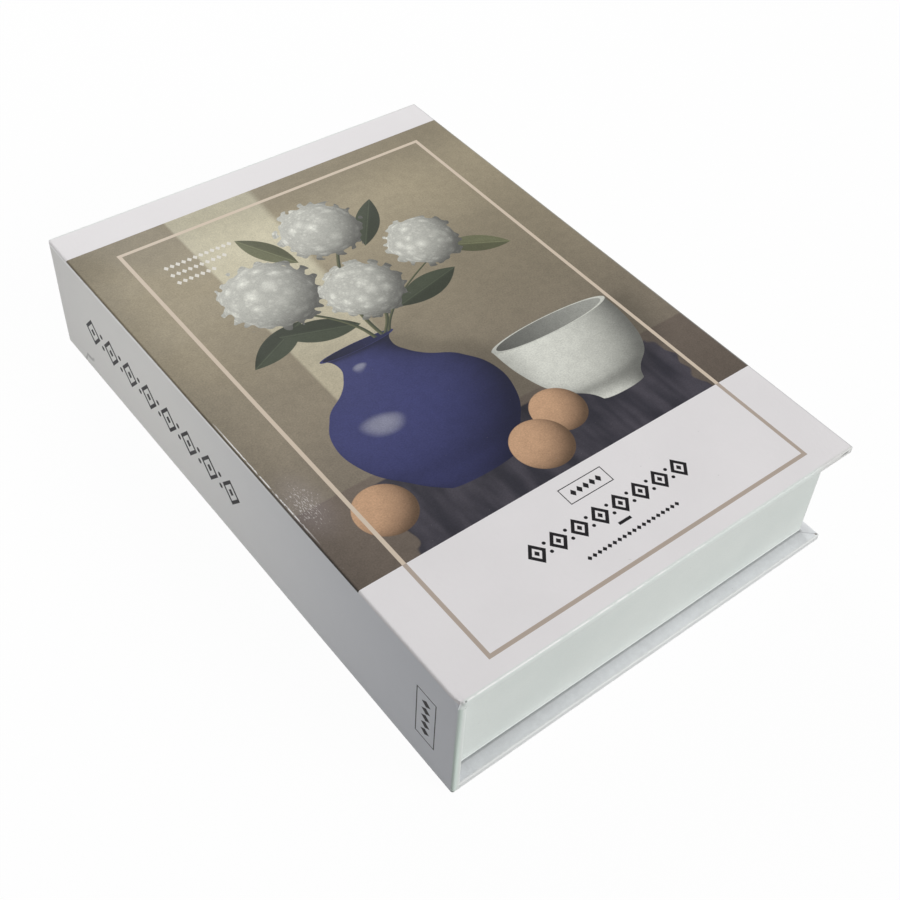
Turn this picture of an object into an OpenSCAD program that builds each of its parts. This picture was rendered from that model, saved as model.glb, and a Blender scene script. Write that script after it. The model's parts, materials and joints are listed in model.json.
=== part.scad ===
// Book-shaped box: a tray glued into a three-board case, closed by the front cover.
// X runs from spine to fore edge, Y from tail to head, Z from back cover to front cover.
// The origin is the middle of the underside of the closed box.

/* [Covers] */
// Length of the covers from tail to head
cover_l = 250; // [180:1:320]
// Width of the closed box from spine to fore edge
cover_w = 170; // [120:1:240]
// Thickness of the closed box
closed_t = 50; // [30:1:80]
// Thickness of the greyboard in the two covers
cover_board_t = 2.5; // [2:0.1:4]
// Thickness of the greyboard in the spine
spine_board_t = 2.5; // [1.5:0.1:4]
// Overhang of the covers past the tray at head and tail
square_ends = 5.5; // [2:0.5:12]
// Overhang of the covers past the tray at the fore edge
square_fore = 4.5; // [2:0.5:15]
// Radius of the cover corners seen from above
corner_r = 0.5; // [0.5:0.1:4]
// Radius of the paper where it turns over a board edge
edge_r = 0.6; // [0.4:0.1:1.2]
// Radius of the upright edges at the two ends of the spine
spine_end_r = 1.8; // [1:0.1:2]

/* [Cover paper] */
// Thickness of the printed cover paper
wrap_t = 0.2; // [0.1:0.05:0.3]
// Width of the paper turned in over the inner faces of the boards
turn_in = 15; // [8:1:25]
// Width of the mitred seam where two turn-ins meet
mitre_gap = 0.3; // [0.1:0.05:1]
// Thickness of the liner pasted inside the front cover
liner_t = 0.2; // [0.1:0.05:0.4]
// Distance from the edges of the front cover to its liner
liner_margin = 4; // [2:0.5:8]

/* [Hinge] */
// Distance from the outside of the spine to the edge of the front board
hinge_gap = 2.4; // [2:0.1:4]
// Outer radius of the fold in the cover paper at the hinge
fold_r = 0.9; // [0.8:0.1:1.5]
// Thickness of the hinge tape inside the joint
tape_t = 0.2; // [0.1:0.05:0.3]
// Width of tape pasted to the front board, and again behind the tray
tape_hold = 12; // [8:1:20]
// Room left above the pleat of the tape
pleat_room = 0.2; // [0.1:0.05:0.4]
// Distance from the tape to the turn-ins at its ends
tape_play = 0.3; // [0.1:0.1:2]

/* [Tray] */
// Thickness of the tray walls
tray_wall_t = 2; // [1.2:0.1:3]
// Thickness of the tray floor
tray_floor_t = 2; // [1:0.1:3]
// Thickness of the white tray paper
tray_paper_t = 0.25; // [0.2:0.05:0.4]
// Width of the tray paper turned under the tray
turn_under = 12; // [6:1:20]
// Radius of the upright tray corners
tray_corner_r = 0.7; // [0.5:0.1:1.5]
// Gap between the tray rim and the liner of the closed front cover
lid_gap = 0.2; // [0.1:0.05:1]
// Thickness of the gummed tape that joins the wall boards at the corners
stay_t = 0.1; // [0.05:0.01:0.15]
// Width of the gummed tape on each side of a corner
stay_w = 12; // [8:1:20]
// Distance from the ends of the gummed tape to the top and bottom of the wall boards
stay_end = 2; // [1:0.5:5]
// Thickness of the paper on the tray floor
floor_paper_t = 0.25; // [0.1:0.05:0.4]
// Distance from the floor paper to the lined walls
floor_paper_play = 0.3; // [0.1:0.1:2]

/* [Magnet rail] */
// Width of the hollow rail along the fore edge of the tray
rail_w = 16; // [14:1:30]
// Thickness of the board that caps the rail
rail_cap_t = 2.5; // [2:0.1:4]
// Diameter of a magnet
magnet_d = 8; // [4:0.5:9]
// Thickness of a magnet
magnet_t = 1.5; // [0.8:0.1:1.8]
// Distance between the two magnets of each board, centre to centre
magnet_pitch = 150; // [60:5:200]
// Room left around a magnet in its pocket
pocket_play = 0.15; // [0.05:0.05:0.3]

/* [Hidden] */
$fn = 64;

greyboard = "#9a948a";
cover_paper = "#dcdadb";
inside_paper = "#e6e7e4";
tray_paper = "#cdd4cf";
nickel = "#b9bcc0";

// How far a cutting shape runs past the face that it cuts
past = 1;

// The case: outer faces of the spine, the fore edge and the ends
spine_x = -cover_w / 2;
fore_x = cover_w / 2;
ends = [-cover_l / 2, cover_l / 2];
cover_t = cover_board_t + 2 * wrap_t;
spine_in = spine_x + wrap_t + spine_board_t;
soft_r = min(edge_r, cover_t / 2 - 0.1);
spine_r = min(spine_end_r, spine_board_t - soft_r);

// Heights of the closed lid, its liner, the rim and the spine board
lid_z = closed_t - cover_t;
liner_z = lid_z - liner_t;
rim_z = liner_z - lid_gap;
spine_top = rim_z - tape_t;

// The hinge line is the centre of the fold in the cover paper
lid_x = spine_x + hinge_gap;
hinge_x = spine_x + fold_r;
hinge_z = closed_t - fold_r;
pleat_r = (hinge_gap - wrap_t) / 2;
pleat_x = spine_x + wrap_t + pleat_r;
pleat_z = closed_t - wrap_t - pleat_room - pleat_r;
tape_ends = shrink(ends, turn_in + tape_play);

// The tray: outside, cavity between the lined walls, and floor
tray_x = [spine_in + max(wrap_t, tape_t), fore_x - square_fore];
tray_y = shrink(ends, square_ends);
tray_z = [cover_t, rim_z];
skin_and_wall = tray_paper_t + tray_wall_t;
rail_in = tray_x[1] - rail_w;
cavity_x = [tray_x[0] + skin_and_wall + tray_paper_t, rail_in - tray_paper_t];
cavity_y = shrink(tray_y, skin_and_wall + tray_paper_t);
floor_z = tray_z[0] + tray_paper_t;
floor_top = floor_z + tray_floor_t;

// The magnets lie over the middle of the rail cap
cap_x = [rail_in + tray_wall_t, tray_x[1] - skin_and_wall];
magnet_x = (cap_x[0] + cap_x[1]) / 2;
pocket_r = magnet_d / 2 + pocket_play;

// A span made shorter at both ends
function shrink(span, d) = [span[0] + d, span[1] - d];

// Flat shapes raised along each axis over a span
module along_z(span) translate([0, 0, span[0]]) linear_extrude(span[1] - span[0]) children();
module along_y(span)
    translate([0, span[1], 0]) rotate([90, 0, 0]) linear_extrude(span[1] - span[0]) children();
module along_x(span)
    translate([span[0], 0, 0]) rotate([90, 0, 90]) linear_extrude(span[1] - span[0]) children();

module block(x, y, z)
    translate([x[0], y[0], z[0]]) cube([x[1] - x[0], y[1] - y[0], z[1] - z[0]]);

// Rectangle over two spans, its corners rounded in the order of a walk round it
module round_rect(a, b, radii) {
    corners = [[a[0], b[0], 1, 1], [a[1], b[0], -1, 1], [a[1], b[1], -1, -1], [a[0], b[1], 1, -1]];
    difference() {
        translate([a[0], b[0]]) square([a[1] - a[0], b[1] - b[0]]);
        for (i = [0:3])
            if (radii[i] > 0)
                translate([corners[i][0], corners[i][1]]) scale([corners[i][2], corners[i][3]])
                    corner_waste(radii[i]);
    }
}

// What a round corner of a rectangle leaves over
module corner_waste(r) {
    difference() {
        translate([-past, -past]) square(r + past);
        translate([r, r]) circle(r);
    }
}

// Slab with rounded edges: radii for its plan, its side and its end
module soft_slab(x, y, z, plan, side, end) {
    intersection() {
        along_z(z) round_rect(x, y, plan);
        along_y(y) round_rect(x, z, side);
        along_x(x) round_rect(y, z, end);
    }
}

// The covers and the spine, as seen from outside or drawn in by the thickness of the paper
module back_slab(inset) {
    r = soft_r - inset;
    c = corner_r - inset;
    s = spine_r - inset;
    soft_slab([spine_x + inset, fore_x - inset], shrink(ends, inset), shrink([0, cover_t], inset),
              [s, c, c, s], [r, r, r, 0], [r, r, r, r]);
}

module spine_slab(inset) {
    r = soft_r - inset;
    s = spine_r - inset;
    soft_slab([spine_x + inset, spine_in + wrap_t - inset], shrink(ends, inset), [inset, spine_top],
              [s, r, r, s], [r, 0, 0, 0], [r, r, 0, 0]);
}

module lid_slab(inset) {
    r = soft_r - inset;
    c = corner_r - inset;
    soft_slab([lid_x, fore_x - inset], shrink(ends, inset), shrink([lid_z, closed_t], inset),
              [0, c, c, 0], [0, r, r, 0], [r, r, r, r]);
}

// Opening that the turn-ins leave on the inner faces
module inner_window(x0, z) {
    block([x0, fore_x - turn_in], shrink(ends, turn_in), z);
}

// Mitred seams of the turn-ins at the two fore corners, over a span of height
module mitre_seams(z) {
    for (s = [-1, 1])
        translate([fore_x, s * ends[1], z[0]]) rotate(s * 45)
            translate([-turn_in * sqrt(2), -mitre_gap / 2, 0])
                cube([turn_in * sqrt(2), mitre_gap, z[1] - z[0]]);
}

// Case paper: back cover and spine, turned in over head, tail and fore edge
module case_skin() {
    difference() {
        union() {
            back_slab(0);
            spine_slab(0);
        }
        back_slab(wrap_t);
        spine_slab(wrap_t);
        inner_window(spine_in, [cover_t - wrap_t, closed_t]);
        mitre_seams([cover_t - wrap_t, cover_t + past]);
    }
}

// The part of the case paper that stands up along the spine
module spine_zone() {
    block([spine_x - past, spine_in + wrap_t], shrink(ends, -past), [soft_r, closed_t]);
}

module back_board() {
    color(greyboard) intersection() {
        back_slab(wrap_t);
        block([spine_in, fore_x], ends, [0, cover_t]);
    }
}

module spine_board() {
    color(greyboard) spine_slab(wrap_t);
}

module back_wrap() {
    color(cover_paper) difference() {
        case_skin();
        spine_zone();
    }
}

module spine_wrap() {
    color(cover_paper) intersection() {
        case_skin();
        spine_zone();
    }
}

// Section of the cover paper where it folds from the spine to the front cover
module fold_section(t) {
    translate([spine_x, spine_top]) square([t, hinge_z - spine_top]);
    translate([hinge_x, closed_t - t]) square([lid_x - hinge_x, t]);
    translate([hinge_x, hinge_z]) intersection() {
        difference() {
            circle(fold_r);
            circle(fold_r - t);
        }
        translate([-fold_r, 0]) square(fold_r);
    }
}

// Flexing part of the cover paper, doubled by its turn-ins at head and tail
module outer_joint() {
    color(cover_paper) intersection() {
        union() {
            along_y(ends) fold_section(wrap_t);
            for (s = [-1, 1])
                along_y(s > 0 ? [ends[1] - turn_in, ends[1]] : [ends[0], ends[0] + turn_in])
                    fold_section(2 * wrap_t);
        }
        along_x([spine_x, lid_x]) round_rect(ends, [0, closed_t], [0, 0, soft_r, soft_r]);
        along_z([0, closed_t]) round_rect([spine_x, lid_x], ends, [spine_r, 0, 0, spine_r]);
    }
}

// Hinge tape: under the front board, up into the joint, back down in a pleat,
// over the top of the spine board and down behind the tray
module tape_section() {
    translate([lid_x - tape_t, lid_z]) square([tape_hold + tape_t, tape_t]);
    translate([lid_x - tape_t, lid_z]) square([tape_t, pleat_z - lid_z]);
    translate([spine_x + wrap_t, spine_top]) square([tape_t, pleat_z - spine_top]);
    translate([spine_x + wrap_t, spine_top]) square([spine_in + tape_t - spine_x - wrap_t, tape_t]);
    translate([spine_in, spine_top - tape_hold]) square([tape_t, tape_hold + tape_t]);
    translate([pleat_x, pleat_z]) intersection() {
        difference() {
            circle(pleat_r);
            circle(pleat_r - tape_t);
        }
        translate([-pleat_r, 0]) square([2 * pleat_r, pleat_r]);
    }
}

module inner_joint() {
    color(inside_paper) along_y(tape_ends) tape_section();
}

// Outside of the tray, or the same drawn in by an inset
module tray_block(inset) {
    r = tray_corner_r - inset;
    along_z(shrink(tray_z, inset))
        round_rect(shrink(tray_x, inset), shrink(tray_y, inset), [r, r, r, r]);
}

// Space inside the tray, or the same let out into the walls
module cavity(outset) {
    block(shrink(cavity_x, -outset), shrink(cavity_y, -outset), [floor_top, closed_t]);
}

module tray_wall(x, y) {
    color(greyboard) intersection() {
        tray_block(tray_paper_t);
        block(x, y, [floor_z, rim_z]);
    }
}

wall_y = shrink(tray_y, skin_and_wall);

module tray_head_wall() {
    tray_wall(tray_x, [wall_y[1], tray_y[1]]);
}

module tray_tail_wall() {
    tray_wall(tray_x, [tray_y[0], wall_y[0]]);
}

module tray_spine_wall() {
    tray_wall([tray_x[0], tray_x[0] + skin_and_wall], wall_y);
}

module tray_fore_wall() {
    tray_wall([tray_x[1] - skin_and_wall, tray_x[1]], wall_y);
}

module tray_floor() {
    color(greyboard)
        block(shrink(tray_x, skin_and_wall), wall_y, [floor_z, floor_top]);
}

module rail_wall() {
    color(greyboard)
        block([rail_in, rail_in + tray_wall_t], wall_y, [floor_top, rim_z - tray_paper_t]);
}

// A pair of round shapes at the places of the magnets, over a span of height
module at_magnets(r, z) {
    for (s = [-1, 1])
        translate([magnet_x, s * magnet_pitch / 2, z[0]]) cylinder(r = r, h = z[1] - z[0]);
}

module rail_cap() {
    top = rim_z - tray_paper_t;
    color(greyboard) difference() {
        block(cap_x, wall_y, [top - rail_cap_t, top]);
        at_magnets(pocket_r, [top - magnet_t, top + past]);
    }
}

module tray_magnets() {
    top = rim_z - tray_paper_t;
    color(nickel) at_magnets(magnet_d / 2, [top - magnet_t, top]);
}

// Gummed tape folded round the four upright corners, pressed flush under the tray paper
module corner_stays() {
    color("#b08d5c") intersection() {
        difference() {
            tray_block(tray_paper_t - stay_t);
            tray_block(tray_paper_t);
        }
        for (x = tray_x, y = tray_y)
            block([x - stay_w, x + stay_w], [y - stay_w, y + stay_w],
                  [floor_z + stay_end, rim_z - tray_paper_t - stay_end]);
    }
}

// White paper: turned under the tray, up the outside, over the rim and rail, and down inside
module tray_wrap() {
    color(tray_paper) difference() {
        tray_block(0);
        cavity(0);
        difference() {
            tray_block(tray_paper_t);
            cavity(tray_paper_t);
        }
        block(shrink(tray_x, turn_under), shrink(tray_y, turn_under), [0, floor_z]);
        corner_stays();
    }
}

module tray_liner() {
    color(tray_paper)
        block(shrink(cavity_x, floor_paper_play), shrink(cavity_y, floor_paper_play),
              [floor_top, floor_top + floor_paper_t]);
}

module front_board() {
    color(greyboard) difference() {
        lid_slab(wrap_t);
        at_magnets(pocket_r, [lid_z, lid_z + wrap_t + magnet_t]);
    }
}

module front_wrap() {
    color(cover_paper) difference() {
        lid_slab(0);
        lid_slab(wrap_t);
        inner_window(lid_x - past, [lid_z - past, lid_z + wrap_t]);
        mitre_seams([lid_z - past, lid_z + wrap_t]);
    }
}

module front_liner() {
    color(inside_paper)
        block([lid_x + liner_margin, fore_x - liner_margin], shrink(ends, liner_margin), [liner_z, lid_z]);
}

module lid_magnets() {
    color(nickel) at_magnets(magnet_d / 2, [lid_z + wrap_t, lid_z + wrap_t + magnet_t]);
}

back_board();
spine_board();
back_wrap();
spine_wrap();
outer_joint();
inner_joint();
tray_floor();
tray_head_wall();
tray_tail_wall();
tray_spine_wall();
tray_fore_wall();
rail_wall();
rail_cap();
tray_magnets();
corner_stays();
tray_wrap();
tray_liner();
front_board();
front_wrap();
front_liner();
lid_magnets();
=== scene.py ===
import json
import math
from contextlib import contextmanager
import bmesh
import bpy
from mathutils import Euler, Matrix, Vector, noise


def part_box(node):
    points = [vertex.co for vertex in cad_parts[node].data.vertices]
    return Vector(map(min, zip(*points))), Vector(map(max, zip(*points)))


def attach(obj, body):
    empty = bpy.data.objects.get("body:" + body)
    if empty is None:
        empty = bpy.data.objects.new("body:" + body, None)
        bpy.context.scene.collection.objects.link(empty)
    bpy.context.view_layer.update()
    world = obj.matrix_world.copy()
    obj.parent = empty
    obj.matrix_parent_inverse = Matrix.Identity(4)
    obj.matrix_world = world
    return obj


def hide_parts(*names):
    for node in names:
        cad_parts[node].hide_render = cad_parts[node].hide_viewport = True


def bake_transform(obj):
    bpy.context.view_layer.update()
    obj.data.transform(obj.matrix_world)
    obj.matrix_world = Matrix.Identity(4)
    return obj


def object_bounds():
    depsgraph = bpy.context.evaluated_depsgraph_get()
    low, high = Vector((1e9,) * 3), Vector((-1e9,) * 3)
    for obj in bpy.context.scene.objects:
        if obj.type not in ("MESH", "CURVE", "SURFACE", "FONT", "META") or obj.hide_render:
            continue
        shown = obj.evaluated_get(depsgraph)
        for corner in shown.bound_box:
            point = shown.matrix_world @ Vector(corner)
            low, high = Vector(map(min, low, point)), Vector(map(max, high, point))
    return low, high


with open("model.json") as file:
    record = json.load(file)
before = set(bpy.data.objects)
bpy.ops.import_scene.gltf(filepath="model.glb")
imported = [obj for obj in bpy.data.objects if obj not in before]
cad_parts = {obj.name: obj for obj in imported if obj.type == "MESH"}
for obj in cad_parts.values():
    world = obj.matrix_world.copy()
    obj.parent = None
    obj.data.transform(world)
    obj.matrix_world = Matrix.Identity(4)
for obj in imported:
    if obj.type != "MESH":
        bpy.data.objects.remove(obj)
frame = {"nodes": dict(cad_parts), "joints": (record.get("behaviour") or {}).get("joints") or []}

# Book-shaped box: three boards in one printed paper, and a tray in white paper.
# X runs from spine to fore edge, Y from tail to head, Z from back cover to front cover.
cad_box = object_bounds()
MM = 0.001
X, Y, Z = range(3)

# Places taken from the frame
case_low, case_high = cad_box
spine_x, tail_y, base_z = case_low
fore_x, head_y, top_z = case_high
lid_low, lid_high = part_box("front_wrap")
lid_x, lid_z = lid_low.x, lid_low.z
cover_t = top_z - lid_z
spine_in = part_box("spine_wrap")[1].x
spine_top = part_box("spine_board")[1].z
tray_low, tray_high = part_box("tray_wrap")
floor_low, floor_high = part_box("tray_liner")
lining_low, lining_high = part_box("front_liner")
hinge = Vector(frame["joints"][0]["pos_m"])

# Sizes of the paper and of how it is folded
PAPER_T = 0.2 * MM
TRAY_PAPER_T = 0.25 * MM
TURN_IN = 15 * MM
TURN_UNDER = 12 * MM
EDGE_R = 0.6 * MM
CORNER_R = 0.5 * MM
SPINE_END_R = 1.8 * MM
SPINE_FOOT_R = 0.8 * MM
FOOT_RUN = 32 * MM
TRAY_CORNER_R = 0.7 * MM
RIM_R = 0.35 * MM
FLOOR_PAPER_PLAY = 0.3 * MM
SHEET_CORNER_R = 0.4 * MM
TAPE_T = 0.2 * MM
PLEAT_R = 0.35 * MM
TIP_CLEAR = 0.8 * MM

# Camera of the photograph
CAMERA_PLACE = (-0.2177, -0.27067, 0.36603)
CAMERA_TURN = (43.222, -4.320, -39.469)
LENS = 52.464
SENSOR_W = 36
LENS_SHIFT = (-0.0666, -0.0067)


# Modelling by hand

@contextmanager
def at_work(piece):
    """Edit mode on one piece, with everything else left alone."""
    bpy.ops.object.select_all(action="DESELECT")
    piece.select_set(True)
    bpy.context.view_layer.objects.active = piece
    bpy.ops.object.mode_set(mode="EDIT")
    yield piece
    bpy.ops.object.mode_set(mode="OBJECT")


def new_block(name, low, high):
    """A block between two corners, its object at the origin."""
    bpy.ops.object.select_all(action="DESELECT")
    low, high = Vector(low), Vector(high)
    bpy.ops.mesh.primitive_cube_add(size=1, location=(low + high) / 2, scale=high - low)
    piece = bpy.context.object
    piece.name = piece.data.name = name
    bpy.ops.object.transform_apply(location=True, rotation=True, scale=True)
    return piece


def pick(kind, test):
    """Selects the verts, edges or faces of the piece at work that pass a test, and nothing else."""
    mesh = bpy.context.object.data
    bpy.ops.mesh.select_mode(type={"verts": "VERT", "edges": "EDGE", "faces": "FACE"}[kind])
    bpy.ops.mesh.select_all(action="DESELECT")
    shape = bmesh.from_edit_mesh(mesh)
    for part in getattr(shape, kind):
        if test(part):
            part.select_set(True)
    shape.select_flush_mode()
    bmesh.update_edit_mesh(mesh)


def middle(part):
    """Middle of an edge or a face."""
    points = [v.co for v in part.verts]
    return sum(points, Vector()) / len(points)


def lies_at(part, axis, place):
    """True if every point of an edge or a face lies at that place along an axis."""
    return all(abs(v.co[axis] - place) < 1e-6 for v in part.verts)


def upright(edge):
    """True if an edge runs along Z."""
    a, b = edge.verts
    return (a.co - b.co).xy.length < 1e-6


def slice_at(axis, places):
    """Cuts the whole piece at work at each place along an axis, so that it can give there."""
    across = Vector((axis == X, axis == Y, axis == Z))
    for place in places:
        bpy.ops.mesh.select_all(action="SELECT")
        bpy.ops.mesh.bisect(plane_co=across * place, plane_no=across)


def delete_faces(test):
    pick("faces", test)
    bpy.ops.mesh.delete(type="FACE")


def bevel_edges(test, radius, segments=4):
    pick("edges", test)
    bpy.ops.mesh.bevel(offset=radius, segments=segments, affect="EDGES", clamp_overlap=True)


def draw_out(*way):
    """Extrudes what is picked that way."""
    bpy.ops.mesh.extrude_region_move(TRANSFORM_OT_translate={"value": way})


def apply_modifier(piece, kind, **settings):
    """Adds a modifier and applies it."""
    bpy.context.view_layer.objects.active = piece
    modifier = piece.modifiers.new(kind.lower(), kind)
    for key, value in settings.items():
        setattr(modifier, key, value)
    bpy.ops.object.modifier_apply(modifier=modifier.name)


def give_thickness(piece, thickness):
    """Turns a sheet into paper of that thickness, laid on inside."""
    apply_modifier(piece, "SOLIDIFY", thickness=thickness, offset=-1, use_even_offset=False)


def smooth(piece, angle=35):
    bpy.ops.object.select_all(action="DESELECT")
    piece.select_set(True)
    bpy.context.view_layer.objects.active = piece
    bpy.ops.object.shade_smooth_by_angle(angle=math.radians(angle))


def keep_places(piece):
    """Stores where each point lies at rest, so that print stays on paper that bends."""
    places = piece.data.attributes.new("paper_place", "FLOAT_VECTOR", "POINT")
    flat = [value for vertex in piece.data.vertices for value in vertex.co]
    places.data.foreach_set("vector", flat)


# Node graphs

def colour(red, green, blue):
    """Linear colour for a screen colour from 0 to 255."""
    def linear(value):
        share = value / 255
        return share / 12.92 if share <= 0.04045 else ((share + 0.055) / 1.055) ** 2.4
    return (linear(red), linear(green), linear(blue), 1)


class Graph:
    """Short calls that add nodes to a node tree and join them."""

    def __init__(self, tree):
        self.tree = tree

    def feed(self, socket, value):
        if isinstance(value, bpy.types.NodeSocket):
            self.tree.links.new(value, socket)
        elif value is not None:
            socket.default_value = value

    def add(self, kind, *values, out=0, **settings):
        node = self.tree.nodes.new("ShaderNode" + kind)
        for key, value in settings.items():
            setattr(node, key, value)
        for socket, value in zip(node.inputs, values):
            self.feed(socket, value)
        return node.outputs[out]

    def math(self, operation, *values):
        return self.add("Math", *values, operation=operation)

    def plus(self, *values):
        return self.math("ADD", *values)

    def minus(self, *values):
        return self.math("SUBTRACT", *values)

    def times(self, *values):
        return self.math("MULTIPLY", *values)

    def size(self, value):
        return self.math("ABSOLUTE", value)

    def least(self, first, *others):
        for other in others:
            first = self.math("MINIMUM", first, other)
        return first

    def most(self, first, *others):
        for other in others:
            first = self.math("MAXIMUM", first, other)
        return first

    def rise(self, value, low, high, low_out=0, high_out=1):
        """Smooth climb from low_out to high_out as value goes from low to high."""
        return self.add("MapRange", value, low, high, low_out, high_out, interpolation_type="SMOOTHSTEP")

    def inside(self, value, low, high, soft=0.12):
        """1 where value lies between low and high."""
        return self.least(self.rise(value, low - soft, low + soft),
                          self.rise(value, high + soft, high - soft))

    def mix(self, share, first, second, blend="MIX"):
        node = self.tree.nodes.new("ShaderNodeMix")
        node.data_type = "RGBA"
        node.blend_type = blend
        self.feed(node.inputs[0], share)
        self.feed(node.inputs[6], first)
        self.feed(node.inputs[7], second)
        return node.outputs[2]

    def shade(self, tint, strength):
        """A colour made lighter or darker by a factor."""
        grey = self.add("CombineXYZ", strength, strength, strength)
        return self.mix(1.0, tint, grey, "MULTIPLY")

    def noise(self, place, scale, detail=2.0, roughness=0.5):
        return self.add("TexNoise", place, None, scale, detail, roughness)

    def stretched(self, place, factors):
        return self.add("VectorMath", place, factors, operation="MULTIPLY")

    def group(self, tree, *values):
        node = self.tree.nodes.new("ShaderNodeGroup")
        node.node_tree = tree
        for socket, value in zip(node.inputs, values):
            self.feed(socket, value)
        return node.outputs[0]


def new_group(name, inputs):
    """An empty node group; returns its tree, its graph, its input sockets and its output socket."""
    tree = bpy.data.node_groups.new(name, "ShaderNodeTree")
    for label, kind in inputs:
        tree.interface.new_socket(label, in_out="INPUT", socket_type="NodeSocket" + kind)
    tree.interface.new_socket("Result", in_out="OUTPUT", socket_type="NodeSocketColor")
    given = tree.nodes.new("NodeGroupInput")
    result = tree.nodes.new("NodeGroupOutput")
    return tree, Graph(tree), list(given.outputs)[:len(inputs)], result.inputs[0]


# The picture on the front cover: flowers in a blue vase, a pale bowl and fruit on a dark table

WALL_HIGH = colour(164, 153, 129)
WALL_LOW = colour(124, 115, 104)
BAND_HIGH = colour(208, 201, 175)
BAND_LOW = colour(166, 153, 131)
TABLE = colour(118, 107, 97)
CLOTH = colour(47, 46, 54)
CLOTH_SHEEN = colour(73, 70, 78)
VASE_BLUE = colour(62, 65, 110)
BOWL_WHITE = colour(222, 223, 214)
BLOOM_WHITE = colour(236, 236, 226)
FRUIT_PEACH = colour(196, 158, 126)
LEAF_DARK = colour(66, 72, 58)
LEAF_PALE = colour(104, 106, 80)
LIGHT_FROM = Vector((-0.55, 0.5, 0.67)).normalized()
SHINE_SPOT = colour(225, 226, 232)
PICTURE_Y = (-75.9, 110.1)
TABLE_Y = -41

# In millimetres on the cover: centre and radius of each bloom and fruit, both ends and the bend of
# each stem, centre, turn, length, width and tint of each leaf
BLOOMS = [(-34, 52, 19), (2, 74, 17), (31, 47, 15), (-4, 36, 16)]
STEMS = [(-16, 12, -34, 40, 4), (-13, 12, 2, 62, -5), (-10, 12, 30, 38, -6), (-12, 12, -4, 26, 2)]
LEAVES = [(-46, 28, 205, 15, 5.5, LEAF_DARK), (-22, 74, 118, 14, 5, LEAF_PALE),
          (20, 68, 52, 15, 5, LEAF_DARK), (47, 34, -28, 14, 5, LEAF_PALE),
          (16, 24, 12, 16, 6, LEAF_DARK), (-30, 26, 160, 15, 6, LEAF_DARK)]
FRUITS = [(14, -53, 10.5), (-60, -55, 11), (-1, -62, 11.5)]

# Half width of a vessel over its height, both as shares of the whole
VASE_PROFILE = [(0, 0.40), (0.12, 0.66), (0.35, 0.97), (0.5, 1.0), (0.68, 0.82),
                (0.85, 0.40), (0.93, 0.34), (1, 0.46)]
BOWL_PROFILE = [(0, 0.36), (0.08, 0.42), (0.3, 0.78), (0.6, 0.95), (1, 1.0)]


def lit(graph, across, up, outward):
    """How strongly soft light from the upper left falls on a surface that faces that way."""
    total = graph.plus(graph.times(across, LIGHT_FROM.x), graph.times(up, LIGHT_FROM.y))
    total = graph.plus(total, graph.times(outward, LIGHT_FROM.z))
    return graph.rise(total, -0.45, 1.0, 0.22, 1.08)


def ball_group():
    """A fruit, or with petals a round head of blossom, over what lies behind it."""
    names = [("Under", "Color"), ("X", "Float"), ("Y", "Float"), ("Centre X", "Float"),
             ("Centre Y", "Float"), ("Radius", "Float"), ("Tint", "Color"), ("Petals", "Float")]
    tree, graph, given, result = new_group("round_thing", names)
    under, x, y, centre_x, centre_y, radius, tint, petals = given
    across = graph.math("DIVIDE", graph.minus(x, centre_x), radius)
    up = graph.math("DIVIDE", graph.minus(y, centre_y), radius)
    ragged = graph.noise(graph.add("CombineXYZ", x, y, 0.0), 0.3, 0.0)
    spread = graph.plus(1.0, graph.times(petals, graph.rise(ragged, 0.3, 0.7, -0.09, 0.09)))
    square = graph.plus(graph.times(across, across), graph.times(up, up))
    outward = graph.math("SQRT", graph.most(graph.minus(1.0, square), 0.0))
    light = lit(graph, across, up, outward)
    bulge = graph.plus(outward, 0.45)
    place = graph.add("CombineXYZ", graph.math("DIVIDE", across, bulge),
                      graph.math("DIVIDE", up, bulge), radius)
    florets = graph.add("TexVoronoi", place, None, 3.2, 0.0, 0.5, 2.0, 0.35, feature="SMOOTH_F1")
    petals_apart = graph.add("TexVoronoi", place, None, 9.0, 0.0, 0.5, 2.0, 0.3, feature="SMOOTH_F1")
    blossom = graph.times(graph.rise(florets, 0.0, 0.55, 1.10, 0.74),
                          graph.rise(petals_apart, 0.0, 0.5, 1.04, 0.84))
    light = graph.times(light, graph.plus(graph.times(petals, graph.minus(blossom, 1.0)), 1.0))
    shape = graph.rise(graph.times(graph.minus(spread, graph.math("SQRT", square)), radius), 0.0, 0.35)
    graph.feed(result, graph.mix(shape, under, graph.shade(tint, light)))
    return tree


def leaf_group():
    """A pointed leaf with a pale rib, over what lies behind it."""
    names = [("Under", "Color"), ("X", "Float"), ("Y", "Float"), ("Centre X", "Float"),
             ("Centre Y", "Float"), ("Turn", "Float"), ("Length", "Float"), ("Width", "Float"),
             ("Tint", "Color")]
    tree, graph, given, result = new_group("leaf", names)
    under, x, y, centre_x, centre_y, turn, length, width, tint = given
    dx, dy = graph.minus(x, centre_x), graph.minus(y, centre_y)
    cosine, sine = graph.math("COSINE", turn), graph.math("SINE", turn)
    along = graph.math("DIVIDE", graph.plus(graph.times(dx, cosine), graph.times(dy, sine)), length)
    aside = graph.minus(graph.times(dy, cosine), graph.times(dx, sine))
    half = graph.times(width, graph.minus(1.0, graph.times(along, along)))
    shape = graph.rise(graph.minus(half, graph.size(aside)), 0.0, 0.3)
    light = graph.rise(aside, -1.5, 1.5, 0.7, 1.15)
    light = graph.plus(light, graph.rise(graph.size(aside), 0.35, 0.1, 0.0, 0.5))
    graph.feed(result, graph.mix(shape, under, graph.shade(tint, light)))
    return tree


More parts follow.
